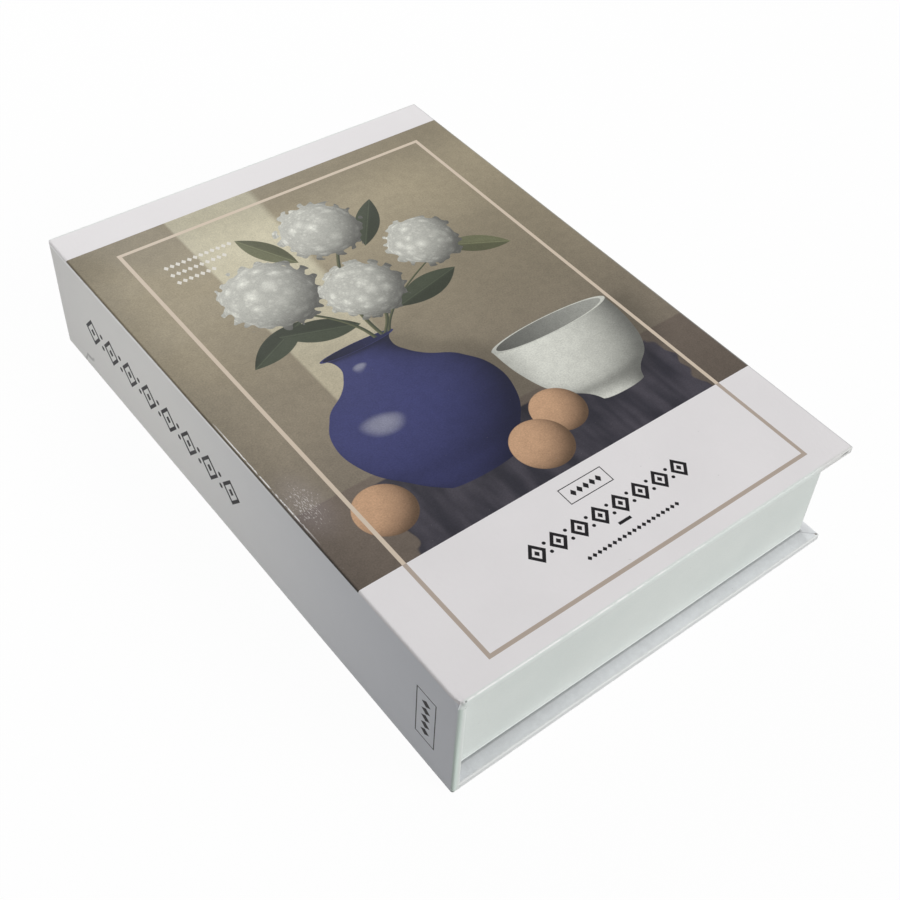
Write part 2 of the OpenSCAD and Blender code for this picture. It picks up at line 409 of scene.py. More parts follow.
def stem_group():
    """A thin bent stem between two points, over what lies behind it."""
    names = [("Under", "Color"), ("X", "Float"), ("Y", "Float"), ("Low X", "Float"), ("Low Y", "Float"),
             ("High X", "Float"), ("High Y", "Float"), ("Bend", "Float")]
    tree, graph, given, result = new_group("stem", names)
    under, x, y, low_x, low_y, high_x, high_y, bend = given
    share = graph.math("DIVIDE", graph.minus(y, low_y), graph.minus(high_y, low_y))
    line = graph.plus(low_x, graph.times(graph.minus(high_x, low_x), share))
    bulge = graph.times(graph.times(bend, 4.0), graph.times(share, graph.minus(1.0, share)))
    aside = graph.minus(x, graph.plus(line, bulge))
    shape = graph.least(graph.rise(graph.size(aside), 0.9, 0.6), graph.inside(share, 0.0, 1.0, 0.01))
    tint = graph.mix(graph.rise(aside, -0.7, 0.5), LEAF_PALE, LEAF_DARK)
    graph.feed(result, graph.mix(shape, under, tint))
    return tree


def profile_curve(graph, profile, level):
    """Half width of a vessel at a level, as a share of its widest."""
    curve = graph.tree.nodes.new("ShaderNodeFloatCurve")
    points = curve.mapping.curves[0].points
    while len(points) < len(profile):
        points.new(0.5, 0.5)
    for point, place in zip(points, profile):
        point.location = place
    curve.mapping.update()
    graph.feed(curve.inputs[1], level)
    return curve.outputs[0]


def open_mouth(graph, under, across, y, top_y, mouth, tilt, tint):
    """The round mouth of a vessel, pale at its lip and dark inside."""
    flat_y = graph.math("DIVIDE", graph.minus(y, top_y), mouth * tilt)
    flat_x = graph.math("DIVIDE", across, mouth)
    oval = graph.math("SQRT", graph.plus(graph.times(flat_x, flat_x), graph.times(flat_y, flat_y)))
    under = graph.mix(graph.rise(oval, 1.01, 0.99), under, graph.shade(tint, 0.9))
    inner = graph.rise(oval, 0.93, 0.91)
    return graph.mix(inner, under, graph.shade(tint, graph.rise(flat_x, -1, 1, 0.18, 0.5)))


def shine_on(graph, body, side, up, gloss):
    """A soft bright spot at the upper left, where the light comes from."""
    spot = graph.plus(graph.times(graph.plus(side, 0.42), graph.plus(side, 0.42)),
                      graph.times(graph.minus(up, 0.30), graph.minus(up, 0.30)))
    return graph.mix(graph.rise(spot, 0.07, 0.0, 0.0, gloss), body, SHINE_SPOT)


def vessel(graph, under, x, y, centre, height, half_width, tilt, profile, tint, gloss):
    """A turned vessel seen from a little above: its body, its open mouth and its shadow on the wall."""
    centre_x, base_y = centre
    across = graph.minus(x, centre_x)

    def radius_at(level):
        return graph.times(profile_curve(graph, profile, level), half_width)

    rough_level = graph.math("DIVIDE", graph.minus(y, base_y), height)
    rough = radius_at(rough_level)
    depth = graph.minus(graph.times(rough, rough), graph.times(across, across))
    rise = graph.times(graph.math("SQRT", graph.most(depth, 0.0)), tilt)
    level = graph.math("DIVIDE", graph.minus(graph.plus(y, rise), base_y), height)
    radius = radius_at(level)
    slope = graph.minus(radius_at(graph.plus(level, 0.02)), radius_at(graph.minus(level, 0.02)))
    up = graph.math("DIVIDE", slope, -0.04 * height)
    side = graph.math("DIVIDE", across, radius)
    outward = graph.math("SQRT", graph.most(graph.minus(1.0, graph.times(side, side)), 0.0))
    length = graph.math("SQRT", graph.plus(1.0, graph.times(up, up)))
    side, up, outward = [graph.math("DIVIDE", part, length) for part in (side, up, outward)]
    light = lit(graph, side, up, outward)
    shadow_edge = graph.minus(rough, graph.size(graph.minus(across, 9.0)))
    shadow = graph.times(graph.rise(shadow_edge, -9.0, 9.0), graph.inside(rough_level, 0.0, 1.0, 0.12))
    under = graph.shade(under, graph.rise(shadow, 0.0, 1.0, 1.0, 0.72))
    body = graph.shade(tint, light)
    if gloss:
        body = shine_on(graph, body, side, up, gloss)
    shape = graph.least(graph.rise(graph.minus(radius, graph.size(across)), 0.0, 0.3),
                        graph.inside(level, 0.0, 1.0, 0.004))
    under = graph.mix(shape, under, body)
    return open_mouth(graph, under, across, y, base_y + height, profile[-1][1] * half_width, tilt, tint)


def wall_and_table(graph, place, x, y):
    """The wall with its pale band and the table top, shaded at the right, the top and the left edge."""
    high = graph.rise(y, -90, 85)
    wall = graph.mix(high, WALL_LOW, WALL_HIGH)
    band = graph.least(graph.rise(x, -45.5, -44.0),
                       graph.rise(graph.plus(x, graph.times(y, -0.06)), -12, -16))
    wall = graph.mix(band, wall, graph.mix(high, BAND_LOW, BAND_HIGH))
    cloudy = graph.noise(place, 0.02, 3.0)
    picture = graph.shade(wall, graph.rise(cloudy, 0.3, 0.7, 0.93, 1.07))
    table = graph.shade(TABLE, graph.rise(y, -76, TABLE_Y, 0.82, 1.0))
    picture = graph.mix(graph.rise(y, TABLE_Y + 0.5, TABLE_Y - 0.5), picture, table)
    far_side = graph.times(graph.rise(x, -30, 50), graph.rise(y, 90, 30))
    shadow = graph.times(graph.rise(far_side, 0, 1, 1.0, 0.85), graph.rise(y, 78, 108, 1.0, 0.76))
    shadow = graph.times(shadow, graph.rise(x, -84, -72, 0.84, 1.0))
    return graph.shade(picture, shadow)


def table_cloth(graph, picture, place, x, y):
    """A dark cloth in soft folds over the front of the table."""
    hang = graph.plus(x, graph.times(graph.minus(graph.noise(place, 0.06, 2.0), 0.5), 14.0))
    cloth = graph.least(graph.rise(hang, -62.0, -61.0), graph.rise(hang, 66.0, 65.0),
                        graph.rise(y, TABLE_Y - 3, TABLE_Y - 4))
    folds = graph.rise(graph.noise(graph.stretched(place, (1.0, 0.25, 1.0)), 0.12, 2.0), 0.35, 0.65)
    return graph.mix(cloth, picture, graph.mix(folds, CLOTH, CLOTH_SHEEN))


def picture_group():
    """The whole picture, by place on the cover in millimetres."""
    tree, graph, (place,), result = new_group("cover_picture", [("Place", "Vector")])
    x = graph.add("SeparateXYZ", place)
    y = x.node.outputs[1]
    picture = wall_and_table(graph, place, x, y)
    picture = table_cloth(graph, picture, place, x, y)
    stem, leaf, ball = stem_group(), leaf_group(), ball_group()
    for row in STEMS:
        picture = graph.group(stem, picture, x, y, *map(float, row))
    for lx, ly, turn, length, width, tint in LEAVES:
        picture = graph.group(leaf, picture, x, y, lx, ly, math.radians(turn), length, width, tint)
    picture = vessel(graph, picture, x, y, (40, -58), 40, 27, 0.16, BOWL_PROFILE, BOWL_WHITE, 0)
    picture = vessel(graph, picture, x, y, (-24, -60), 72, 34, 0.13, VASE_PROFILE, VASE_BLUE, 0.3)
    for row in STEMS:
        picture = graph.group(stem, picture, x, y, *map(float, row))
    for bx, by, radius in BLOOMS:
        picture = graph.group(ball, picture, x, y, bx, by, radius, BLOOM_WHITE, 1.0)
    for bx, by, radius in FRUITS:
        picture = graph.group(ball, picture, x, y, bx, by, radius, FRUIT_PEACH, 0.0)
    grain = graph.noise(place, 1.6, 3.0, 0.7)
    mottle = graph.noise(place, 0.35, 3.0, 0.6)
    grain = graph.times(graph.rise(grain, 0.2, 0.8, 0.84, 1.16), graph.rise(mottle, 0.3, 0.7, 0.95, 1.05))
    graph.feed(result, graph.shade(picture, grain))
    return tree


# Line work on the cover and the spine

FRAME_LINE = ((-68.75, 69.25), (-118.0, 102.25))
FRAME_LINE_W = 1.5
LINE_ON_PICTURE = colour(218, 202, 183)
LINE_ON_WHITE = colour(184, 170, 158)
PRINT_BLACK = colour(24, 22, 25)
PAPER_WHITE = colour(238, 235, 236)
# Spine paper painted warmer towards the head and cooler towards the tail: a painted tint of the light and
# shade on the spine
SPINE_HEAD_WARM_LIGHT = colour(235, 234, 231)
SPINE_TAIL_COOL_SHADE = colour(231, 233, 238)
# The end faces and the ledge are painted a darker, mint-tinted white, darkest where the spine's end rounds
# off and greyer towards the lid's fore corner: painted shade and a painted tint of the light on them
SPINE_END_PAINTED_SHADE = colour(216, 229, 221)
SPINE_END_IN_PAINTED_TINT = colour(226, 231, 227)
LID_END_PAINTED_TINT = colour(226, 232, 228)
LID_END_FORE_PAINTED_SHADE = colour(222, 222, 220)
LEDGE_PAINTED_TINT = colour(229, 231, 230)
# Paper where the ink is worn off, also used for painted highlights
WORN_PAPER_AND_HIGHLIGHT = colour(252, 251, 250)
CREASE_PAINTED_SHADE = colour(112, 112, 112)
FORE_EDGE_PAINTED_SHADE = colour(176, 178, 177)
FOLD_PAINTED_SHADE = colour(58, 54, 50)
NICK_PAINTED_SHADE = colour(96, 98, 97)
EDGE_DARK = colour(138, 140, 139)
FOOT_PAINTED_HIGHLIGHT = colour(236, 240, 237)
GLUE_AND_CONTACT_SHADE = colour(146, 153, 152)
FLECK_GREY = colour(158, 160, 156)
PALE_INK = colour(232, 228, 218)
HAZE = colour(206, 196, 206)
SCRATCH = colour(226, 220, 216)
DUST = colour(150, 148, 146)
# At the knocked tip of the joint: a painted highlight on the crumpled paper, and painted shade in the gap
# beside it
TIP_HIGHLIGHT = (lid_x / MM - 0.8, tail_y / MM + 0.2, top_z / MM - 0.4)
TIP_GAP_SHADE = (lid_x / MM, tail_y / MM, top_z / MM - 0.2)
# A dark spot at the foot of the spine's tail edge
FOOT_DARK_SPOT = (spine_x / MM + 0.5, tail_y / MM + 0.3, 0.4)
TUCK_PLACE = 2.2

# Rows of small lozenges on the picture: span, pitch, half height and level
PICTURE_ROWS = [((-58.5, -29.7), 2.4, 1.3, 86.0), ((-58.5, -34.5), 2.4, 1.3, 81.2),
                ((-58.5, -41.7), 2.4, 1.3, 76.4)]


def outline(graph, a, b, span_a, span_b, width):
    """1 on the line of a rectangle, given by its outer edges."""
    outer = graph.least(graph.inside(a, *span_a, 0.06), graph.inside(b, *span_b, 0.06))
    inner = graph.least(graph.inside(a, span_a[0] + width, span_a[1] - width, 0.06),
                        graph.inside(b, span_b[0] + width, span_b[1] - width, 0.06))
    return graph.most(graph.minus(outer, inner), 0.0)


def lozenge_row(graph, along, across, span, pitch, half, middle_at, thick):
    """1 on a row of open lozenges with a bead in each and a pair of dots between them."""
    cell = graph.minus(graph.math("FLOORED_MODULO", graph.minus(along, span[0]), pitch), pitch / 2)
    side = graph.minus(across, middle_at)
    reach = graph.plus(graph.math("DIVIDE", graph.size(cell), 0.40 * pitch),
                       graph.math("DIVIDE", graph.size(side), half))
    ring = graph.least(graph.rise(reach, 1.03, 0.99), graph.rise(reach, 0.97 - thick, 1.01 - thick))
    bead = graph.rise(reach, 0.30, 0.26)
    gap = graph.minus(pitch / 2, graph.size(cell))
    dot_side = graph.minus(graph.size(side), 0.45 * half)
    dot = graph.math("SQRT", graph.plus(graph.times(gap, gap), graph.times(dot_side, dot_side)))
    dots = graph.times(graph.rise(dot, 0.085 * pitch, 0.065 * pitch),
                       graph.inside(along, span[0] + pitch / 2, span[1] - pitch / 2))
    return graph.times(graph.most(ring, bead, dots), graph.inside(along, *span, 0.02))


def bead_row(graph, along, across, span, pitch, half, middle_at):
    """1 on a row of small solid lozenges."""
    cell = graph.minus(graph.math("FLOORED_MODULO", graph.minus(along, span[0]), pitch), pitch / 2)
    reach = graph.plus(graph.math("DIVIDE", graph.size(cell), 0.42 * pitch),
                       graph.math("DIVIDE", graph.size(graph.minus(across, middle_at)), half))
    return graph.times(graph.rise(reach, 1.05, 0.9), graph.inside(along, *span, 0.02))


def cover_marks(graph, x, y):
    """Black marks on the white foot of the cover."""
    box = outline(graph, x, y, (-10.75, 7.75), (-88.0, -80.75), 0.35)
    beads = bead_row(graph, x, y, (-8.25, 5.25), 2.7, 1.6, -84.4)
    row = lozenge_row(graph, x, y, (-37.0, 33.4), 8.8, 4.4, -96.6, 0.42)
    dash = graph.least(graph.inside(x, -3.75, 1.5), graph.inside(y, -103.4, -102.2))
    fine = bead_row(graph, x, y, (-21.5, 18.4), 2.1, 1.0, -107.6)
    return graph.most(box, beads, row, dash, fine)


def spine_marks(graph, y, z):
    """Black marks on the spine."""
    row = lozenge_row(graph, y, z, (-8.0, 104.0), 14.0, 6.3, 24.6, 0.30)
    box = outline(graph, y, z, (-115.2, -105.6), (12.2, 36.8), 0.45)
    beads = bead_row(graph, z, y, (14.9, 33.9), 3.8, 2.2, -110.4)
    return graph.most(row, box, beads)


def past_fold(graph, x, z):
    """How far a point lies past the middle of the fold, from the spine towards the front cover."""
    return graph.plus(graph.minus(x, hinge.x / MM), graph.minus(z, hinge.z / MM))


def print_group():
    """Everything printed on the case paper, by place in millimetres, and painted shade on its spine, ends
    and ledge.
    """
    tree, graph, (place,), result = new_group("case_print", [("Place", "Vector")])
    x = graph.add("SeparateXYZ", place)
    y, z = x.node.outputs[1], x.node.outputs[2]
    past_edge = graph.minus(past_fold(graph, x, z), graph.rise(y, -20.0, 40.0, -0.80, -0.25))
    on_lid = graph.times(graph.rise(z, lid_z / MM - 0.3, lid_z / MM - 0.2),
                         graph.rise(past_edge, -0.06, 0.06))
    on_face = graph.times(on_lid, graph.rise(z, top_z / MM - 0.3, top_z / MM - 0.2))
    on_spine = graph.rise(x, spine_x / MM + 0.3, spine_x / MM + 0.2)
    in_panel = graph.times(on_lid, graph.inside(y, *PICTURE_Y, 0.05))
    # Painted tint: the spine's paper turns cool towards the tail, as in shade
    spine = graph.mix(graph.rise(y, -120, 60), SPINE_TAIL_COOL_SHADE, SPINE_HEAD_WARM_LIGHT)
    paper = graph.mix(on_lid, spine, PAPER_WHITE)
    # Painted shade: end faces and ledge in a darker, mint-tinted white
    spine_end_shade = graph.mix(graph.rise(x, spine_x / MM + 0.6, spine_x / MM + 2.2), SPINE_END_PAINTED_SHADE, SPINE_END_IN_PAINTED_TINT)
    end = graph.mix(graph.rise(x, spine_in / MM, spine_in / MM + 0.5), spine_end_shade, LEDGE_PAINTED_TINT)
    lid_end_shade = graph.mix(graph.rise(x, 64, 72), LID_END_PAINTED_TINT, LID_END_FORE_PAINTED_SHADE)
    end = graph.mix(graph.rise(z, spine_top / MM, lid_z / MM), end, lid_end_shade)
    turned = graph.rise(graph.size(y), head_y / MM - 1.2, head_y / MM - 0.3)
    paper = graph.mix(graph.most(turned, graph.inside(z, cover_t / MM, cover_t / MM, 0.3)), paper, end)
    ink = graph.mix(in_panel, paper, graph.group(picture_group(), place))
    line = graph.times(on_face, outline(graph, x, y, *FRAME_LINE, FRAME_LINE_W))
    ink = graph.mix(line, ink, graph.mix(in_panel, LINE_ON_WHITE, LINE_ON_PICTURE))
    dots = bead_row(graph, x, y, *PICTURE_ROWS[0])
    for row in PICTURE_ROWS[1:]:
        dots = graph.most(dots, bead_row(graph, x, y, *row))
    ink = graph.mix(graph.times(on_face, dots), ink, PALE_INK)
    ink = graph.mix(graph.times(on_face, cover_marks(graph, x, y)), ink, PRINT_BLACK)
    ink = graph.mix(graph.times(on_spine, spine_marks(graph, y, z)), ink, PRINT_BLACK)
    graph.feed(result, ink)
    return tree


# Materials

# How deep the relief of each surface is
PRINT_RELIEF = 0.06 * MM
PAPER_RELIEF = 0.04 * MM
BOARD_RELIEF = 0.15 * MM
TAPE_RELIEF = 0.04 * MM
PLATE_RELIEF = 0.01 * MM


def new_material(name):
    material = bpy.data.materials.new(name)
    material.use_nodes = True
    shader = material.node_tree.nodes["Principled BSDF"]
    return material, Graph(material.node_tree), shader


def object_place(graph):
    """Place on the piece in millimetres."""
    return graph.stretched(graph.add("TexCoord", out=3), (1 / MM,) * 3)


def stored_place(graph):
    """Place in millimetres as it was before the paper was bent."""
    return graph.stretched(graph.add("Attribute", attribute_name="paper_place", out=1), (1 / MM,) * 3)


def finish_shader(graph, shader, base, rough, height, depth, shine=0.5):
    """Joins colour, roughness and relief to a shader. The height runs from 0 to 1 over that depth."""
    shader.inputs["Specular IOR Level"].default_value = shine
    graph.feed(shader.inputs["Base Color"], base)
    graph.feed(shader.inputs["Roughness"], rough)
    bump = graph.add("Bump", 1.0, depth, None, height)
    graph.feed(bump.node.inputs["Height"], height)
    graph.feed(shader.inputs["Normal"], bump)


def edge_wear_and_highlight(graph, place, x, y, z):
    """1 where the rounded edges at head and tail are rubbed pale and carry a painted highlight, most of all
    near the spine.
    """
    radius = EDGE_R / MM
    out_y = graph.minus(graph.size(y), head_y / MM - radius)
    out_z = graph.minus(graph.size(graph.minus(z, top_z / MM / 2)), top_z / MM / 2 - radius)
    on_edge = graph.rise(graph.least(out_y, out_z), 0.1 * radius, 0.6 * radius)
    patchy = graph.noise(graph.stretched(place, (0.5, 0.5, 1.0)), 0.5, 3.0)
    rubbed = graph.rise(graph.plus(patchy, graph.rise(x, -60, 60, 0.06, -0.18)), 0.40, 0.60)
    return graph.times(on_edge, rubbed)


def fore_edge_shade(graph, x, y, z):
    """1 on the rounded fore edges of the covers, painted grey as the shade on the rounding."""
    radius = EDGE_R / MM
    out_x = graph.minus(x, fore_x / MM - radius)
    out_y = graph.minus(graph.size(y), head_y / MM - radius)
    out_z = graph.minus(graph.size(graph.minus(z, top_z / MM / 2)), top_z / MM / 2 - radius)
    return graph.rise(graph.least(out_x, graph.most(out_y, out_z)), -0.5 * radius, 0.3 * radius)


def ledge_shade_and_seam(graph, place, x, y, z):
    """How light the ledge of the back cover is painted: shade greyest at the tray's foot and towards the
    spine, and grey mitred seams.
    """
    beside = graph.most(graph.minus(x, tray_high.x / MM), graph.minus(graph.size(y), tray_high.y / MM))
    patchy = graph.rise(graph.noise(place, 0.5, 3.0, 0.6), 0.3, 0.7, -0.03, 0.03)
    # Painted shade: darker towards the tray's foot and towards the spine, a little lighter past the tray's
    # fore side
    tone = graph.plus(graph.rise(beside, 0.3, 4.5, 0.82, 0.97), patchy)
    tone = graph.times(tone, graph.rise(x, -80, -10, 0.87, 0.98))
    tone = graph.times(tone, graph.rise(x, tray_high.x / MM, tray_high.x / MM + 0.5, 1.0, 1.03))
    tone = graph.times(tone, graph.rise(beside, 0.25, 0.75, 0.76, 1.0))
    seam = graph.minus(graph.minus(fore_x / MM, x), graph.minus(head_y / MM, graph.size(y)))
    tone = graph.times(tone, graph.rise(graph.size(seam), 0.14, 0.3, 0.84, 1.0))
    low = graph.times(graph.rise(z, cover_t / MM + 0.6, cover_t / MM + 0.3), graph.rise(beside, -0.5, -0.2))
    low = graph.times(low, graph.rise(x, spine_in / MM - 0.4, spine_in / MM))
    on_ledge = graph.times(low, graph.rise(z, cover_t / MM - 0.3, cover_t / MM))
    # Painted shade in a line along the back cover's edge faces
    rim = graph.times(low, graph.inside(z, 1.5, 2.1, 0.3))
    tone = graph.plus(graph.times(on_ledge, graph.minus(tone, 1.0)), 1.0)
    return graph.times(tone, graph.rise(rim, 0.0, 1.0, 1.0, 0.92))


def tuck_crease_shade(graph, x, y, z):
    """1 on the short slanted creases in the end faces, where the corner paper is tucked in, painted grey as
    the shade in them.
    """
    from_top = graph.least(graph.minus(top_z / MM, z), z)
    lean = graph.plus(TUCK_PLACE, graph.times(from_top, 0.35))
    crease = graph.size(graph.minus(graph.minus(fore_x / MM, x), lean))
    on_end = graph.rise(graph.size(y), head_y / MM - 0.25, head_y / MM - 0.1)
    tucked = graph.times(graph.rise(crease, 0.28, 0.1), on_end)
    return graph.times(tucked, graph.inside(from_top, 0.5, 2.2, 0.3))


def corner_nick_shade(graph, x, y, z):
    """1 on the dark nick along the edge of the front cover, at its tail corner on the fore edge: painted
    shade in a small crease.
    """
    level = graph.minus(z, graph.plus(49.0, graph.times(graph.minus(x, 80.5), 0.1)))
    streak = graph.times(graph.rise(graph.size(level), 0.45, 0.15), graph.inside(x, 78.6, 82.4, 0.8))
    deeper = graph.rise(x, 78.5, 81.5, 0.35, 1.0)
    return graph.times(graph.times(streak, deeper), graph.rise(y, tail_y / MM + 0.9, tail_y / MM + 0.6))


def spot(graph, x, y, z, centre, radius):
    """1 within a radius of a place."""
    offsets = [graph.minus(value, place) for value, place in zip((x, y, z), centre)]
    squares = [graph.times(offset, offset) for offset in offsets]
    apart = graph.math("SQRT", graph.plus(graph.plus(*squares[:2]), squares[2]))
    return graph.rise(apart, 1.2 * radius, 0.6 * radius)


def spine_crease(graph, y, z):
    """How far above the bent crease near the spine's head a point lies, and where the crease shows."""
    steps = graph.plus(graph.rise(y, 110.4, 107.4, 0.0, 4.0), graph.rise(y, 104.5, 100.5, 0.0, 2.2))
    return graph.minus(z, graph.plus(steps, 1.3)), graph.inside(y, 102.0, 110.6, 1.2)


def fold_crack(graph, place, x, y, z):
    """1 where the ink has cracked off along the middle of the fold, in short dashes."""
    off = graph.size(graph.minus(past_fold(graph, x, z), 0.85))
    broken = graph.noise(graph.stretched(place, (1.0, 0.30, 1.0)), 0.9, 4.0, 0.6)
    crack = graph.times(graph.rise(off, 0.34, 0.10), graph.rise(broken, 0.40, 0.52))
    cracked = graph.times(graph.inside(y, -48.0, 4.0, 10.0), graph.rise(z, lid_z / MM, lid_z / MM + 1))
    return graph.times(crack, cracked)


def fold_shade_line(graph, x, y, z):
    """1 on the dark line of painted shade along the fold beside the picture."""
    off = graph.size(graph.minus(past_fold(graph, x, z), graph.rise(y, -20.0, 40.0, -0.35, 0.05)))
    line = graph.times(graph.rise(off, 0.7, 0.25), graph.inside(y, *PICTURE_Y, 0.1))
    faint = graph.rise(y, -30.0, 40.0, 0.85, 0.4)
    return graph.times(graph.times(line, faint), graph.rise(z, lid_z / MM, lid_z / MM + 1))


def fold_gleam(graph, x, y, z):
    """1 on the thin painted highlight along the fold on its spine side, along the head half."""
    off = graph.size(graph.minus(past_fold(graph, x, z), -1.05))
    line = graph.times(graph.rise(off, 0.75, 0.4), graph.rise(y, -60.0, 0.0))
    return graph.times(line, graph.rise(z, lid_z / MM, lid_z / MM + 0.5))


def scuff_marks(graph, place, x, y, z):
    """1 on the short scratches in the film near the fold, and 1 where the film round them is hazy."""
    aside, along = graph.minus(x, -79.0), graph.times(graph.minus(y, -38.5), 0.5)
    apart = graph.math("SQRT", graph.plus(graph.times(aside, aside), graph.times(along, along)))
    dashes = graph.noise(graph.stretched(place, (1.5, 0.45, 1.0)), 1.7, 3.0, 0.6)
    marks = graph.rise(graph.minus(dashes, graph.rise(apart, 1.0, 9.0, 0.0, 0.22)), 0.50, 0.62)
    on_top = graph.rise(z, top_z / MM - 0.8, top_z / MM - 0.4)
    return graph.times(marks, on_top), graph.times(graph.rise(apart, 10.0, 2.0), on_top)


def print_with_wear_and_shading(graph, ink, place, x, y, z):
    """The print with its cracked fold, rubbed edges, knocked corners and seams, and painted shade and
    highlights on fold, ledge, edges and corners.
    """
    # Painted shade along the fold
    ink = graph.mix(fold_shade_line(graph, x, y, z), ink, FOLD_PAINTED_SHADE)
    # Painted highlight along the fold
    ink = graph.mix(fold_gleam(graph, x, y, z), ink, WORN_PAPER_AND_HIGHLIGHT)
    ink = graph.mix(graph.times(fold_crack(graph, place, x, y, z), 0.85), ink, WORN_PAPER_AND_HIGHLIGHT)
    # Painted shade on the ledge
    ink = graph.shade(ink, ledge_shade_and_seam(graph, place, x, y, z))
    # Painted shade on the rounded fore edges
    ink = graph.mix(graph.times(fore_edge_shade(graph, x, y, z), 0.5), ink, FORE_EDGE_PAINTED_SHADE)
    # Rubbed pale edges at head and tail, with a painted highlight along them
    ink = graph.mix(graph.times(edge_wear_and_highlight(graph, place, x, y, z), 0.75), ink, WORN_PAPER_AND_HIGHLIGHT)
    # Painted shade in the tucked creases
    ink = graph.mix(graph.times(tuck_crease_shade(graph, x, y, z), 0.25), ink, CREASE_PAINTED_SHADE)
    # Painted shade in the nick at the lid's fore corner
    ink = graph.mix(corner_nick_shade(graph, x, y, z), ink, NICK_PAINTED_SHADE)
    # Painted highlight and painted shade at the knocked tip
    ink = graph.mix(spot(graph, x, y, z, TIP_HIGHLIGHT, 0.5), ink, WORN_PAPER_AND_HIGHLIGHT)
    ink = graph.mix(graph.times(spot(graph, x, y, z, TIP_GAP_SHADE, 0.4), 0.7), ink, NICK_PAINTED_SHADE)
    return graph.mix(spot(graph, x, y, z, FOOT_DARK_SPOT, 0.6), ink, EDGE_DARK)


# The nodes are made in the order in which their values are used: in another order Cycles has to keep
# too many of them at once, and the print comes out black.
def printed_paper(name, print_tree, bends):
    """Film-laminated printed paper. On paper that bends, the print follows stored places."""
    material, graph, shader = new_material(name)
    place = stored_place(graph) if bends else object_place(graph)
    x = graph.add("SeparateXYZ", place)
    y, z = x.node.outputs[1], x.node.outputs[2]
    cloudy = graph.noise(place, 0.035, 3.0)
    ink = graph.shade(graph.group(print_tree, place), graph.rise(cloudy, 0.3, 0.7, 0.98, 1.01))
    ink = print_with_wear_and_shading(graph, ink, place, x, y, z)
    beside, shown = spine_crease(graph, y, z)
    shown = graph.times(shown, graph.rise(x, spine_x / MM + 0.3, spine_x / MM + 0.1))
    # Painted shade in the bent crease near the spine's head, whose relief is a bump
    crease_shade = graph.times(graph.rise(graph.size(beside), 1.5, 0.1), shown)
    ink = graph.mix(graph.times(crease_shade, 0.5), ink, CREASE_PAINTED_SHADE)
    scratches, haze = scuff_marks(graph, place, x, y, z)
    ink = graph.mix(graph.times(haze, 0.10), ink, HAZE)
    ink = graph.mix(graph.times(scratches, 0.6), ink, SCRATCH)
    dust = graph.rise(graph.noise(place, 0.55, 2.0, 0.5), 0.79, 0.82)
    ink = graph.mix(graph.times(dust, 0.35), ink, DUST)
    rough = graph.plus(graph.rise(cloudy, 0.3, 0.7, 0.44, 0.54), graph.times(scratches, 0.12))
    peel = graph.noise(place, 0.6, 2.0)
    fibre = graph.noise(place, 4.0, 3.0, 0.6)
    height = graph.plus(graph.times(peel, 0.7), graph.times(fibre, 0.3))
    height = graph.plus(height, graph.times(graph.rise(beside, -0.9, 0.9, 2.6, 0.0), shown))
    finish_shader(graph, shader, ink, rough, height, PRINT_RELIEF, shine=0.1)
    return material


def plain_paper(name, tint, smudge, rough, foot=None):
    """Uncoated paper with soft mottling and fibres, and along the foot of a wall a band of painted
    highlight and a grey glue line darkened as painted contact shade.
    """
    material, graph, shader = new_material(name)
    place = object_place(graph)
    cloudy = graph.noise(place, 0.03, 3.0, 0.55)
    base = graph.mix(graph.rise(cloudy, 0.25, 0.75), smudge, tint)
    fibre = graph.noise(graph.stretched(place, (1.0, 1.0, 2.2)), 1.4, 5.0, 0.65)
    base = graph.shade(base, graph.rise(fibre, 0.25, 0.75, 0.975, 1.02))
    fleck = graph.rise(graph.noise(place, 0.8, 2.0), 0.78, 0.81)
    base = graph.mix(graph.times(fleck, 0.3), base, FLECK_GREY)
    if foot is not None:
        z = graph.add("SeparateXYZ", place, out=2)
        uneven = graph.plus(graph.minus(z, foot / MM), graph.rise(cloudy, 0.3, 0.7, -0.08, 0.08))
        # Painted highlight just above the foot, then the glue line with painted contact shade
        base = graph.mix(graph.rise(graph.size(graph.minus(uneven, 1.3)), 0.6, 0.1), base, FOOT_PAINTED_HIGHLIGHT)
        base = graph.mix(graph.rise(uneven, 0.9, 0.55, 0.0, 0.95), base, GLUE_AND_CONTACT_SHADE)
    height = graph.plus(graph.times(cloudy, 0.3), graph.times(fibre, 0.7))
    varied = graph.rise(fibre, 0.3, 0.7, rough - 0.05, rough + 0.05)
    finish_shader(graph, shader, base, varied, height, PAPER_RELIEF, shine=0.1)
    return material


def greyboard():
    """Pulpy recycled board with dark and light fibres."""
    material, graph, shader = new_material("greyboard")
    place = object_place(graph)
    pulp = graph.noise(graph.stretched(place, (1.0, 0.5, 1.6)), 0.9, 6.0, 0.7)
    base = graph.mix(graph.rise(pulp, 0.3, 0.7), colour(128, 121, 112), colour(166, 158, 147))
    dark = graph.rise(graph.noise(graph.stretched(place, (2.0, 0.5, 2.0)), 1.3, 2.0), 0.68, 0.74)
    base = graph.mix(graph.times(dark, 0.6), base, colour(84, 80, 76))
    pale = graph.rise(graph.noise(graph.stretched(place, (0.5, 2.0, 2.0)), 1.1, 2.0), 0.70, 0.76)
    base = graph.mix(graph.times(pale, 0.6), base, colour(204, 198, 188))
    finish_shader(graph, shader, base, graph.rise(pulp, 0.3, 0.7, 0.82, 0.95), pulp, BOARD_RELIEF)
    return material


